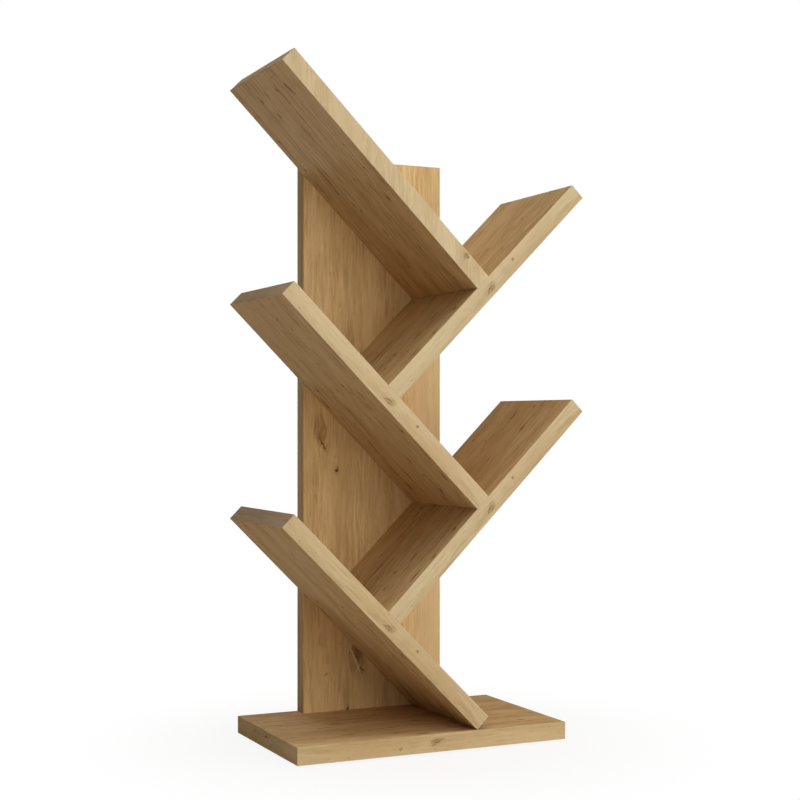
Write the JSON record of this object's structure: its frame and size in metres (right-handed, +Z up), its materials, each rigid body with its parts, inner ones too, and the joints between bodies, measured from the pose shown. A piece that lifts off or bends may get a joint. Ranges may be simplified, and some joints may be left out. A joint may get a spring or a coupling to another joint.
{
  "type": "tree shaped bookshelf",
  "caption": "Free-standing bookshelf whose square-cut shelves lean left and right from a trunk board like branches, on a flat base with floor glides.",
  "frame": {"origin": "on the floor, in the middle of the overall width and of the overall depth", "axes": "+Z up along the trunk, +X to the right seen from the front, the open front towards -Y"},
  "size_m": [0.4111, 0.2152, 0.8477],
  "materials": {
    "oak_board": "matte",
    "oak_edging": "matte",
    "zinc_steel": "satin",
    "oak_plastic": "matte",
    "brown_plastic": "matte",
    "beech": "matte"
  },
  "bodies": {
    "root": {"base": "oak_board", "base_dowels": "beech", "base_front_edging": "oak_edging", "base_left_edging": "oak_edging", "base_rear_edging": "oak_edging", "base_right_edging": "oak_edging", "base_screws": "zinc_steel", "bottom_left_shelf": "oak_board", "bottom_left_shelf_foot_edging": "oak_edging", "bottom_left_shelf_front_edging": "oak_edging", "bottom_left_shelf_head_edging": "oak_edging", "bottom_left_shelf_rear_edging": "oak_edging", "floor_glides": "brown_plastic", "glide_nails": "zinc_steel", "lower_right_shelf": "oak_board", "lower_right_shelf_foot_edging": "oak_edging", "lower_right_shelf_front_edging": "oak_edging", "lower_right_shelf_head_edging": "oak_edging", "lower_right_shelf_rear_edging": "oak_edging", "middle_left_shelf": "oak_board", "middle_left_shelf_foot_edging": "oak_edging", "middle_left_shelf_front_edging": "oak_edging", "middle_left_shelf_head_edging": "oak_edging", "middle_left_shelf_rear_edging": "oak_edging", "screw_caps": "oak_plastic", "shelf_dowels": "beech", "shelf_screws": "zinc_steel", "top_left_shelf": "oak_board", "top_left_shelf_foot_edging": "oak_edging", "top_left_shelf_front_edging": "oak_edging", "top_left_shelf_head_edging": "oak_edging", "top_left_shelf_rear_edging": "oak_edging", "trunk": "oak_board", "trunk_left_edging": "oak_edging", "trunk_right_edging": "oak_edging", "trunk_top_edging": "oak_edging", "upper_right_shelf": "oak_board", "upper_right_shelf_foot_edging": "oak_edging", "upper_right_shelf_front_edging": "oak_edging", "upper_right_shelf_head_edging": "oak_edging", "upper_right_shelf_rear_edging": "oak_edging"}
  },
  "joints": []
}
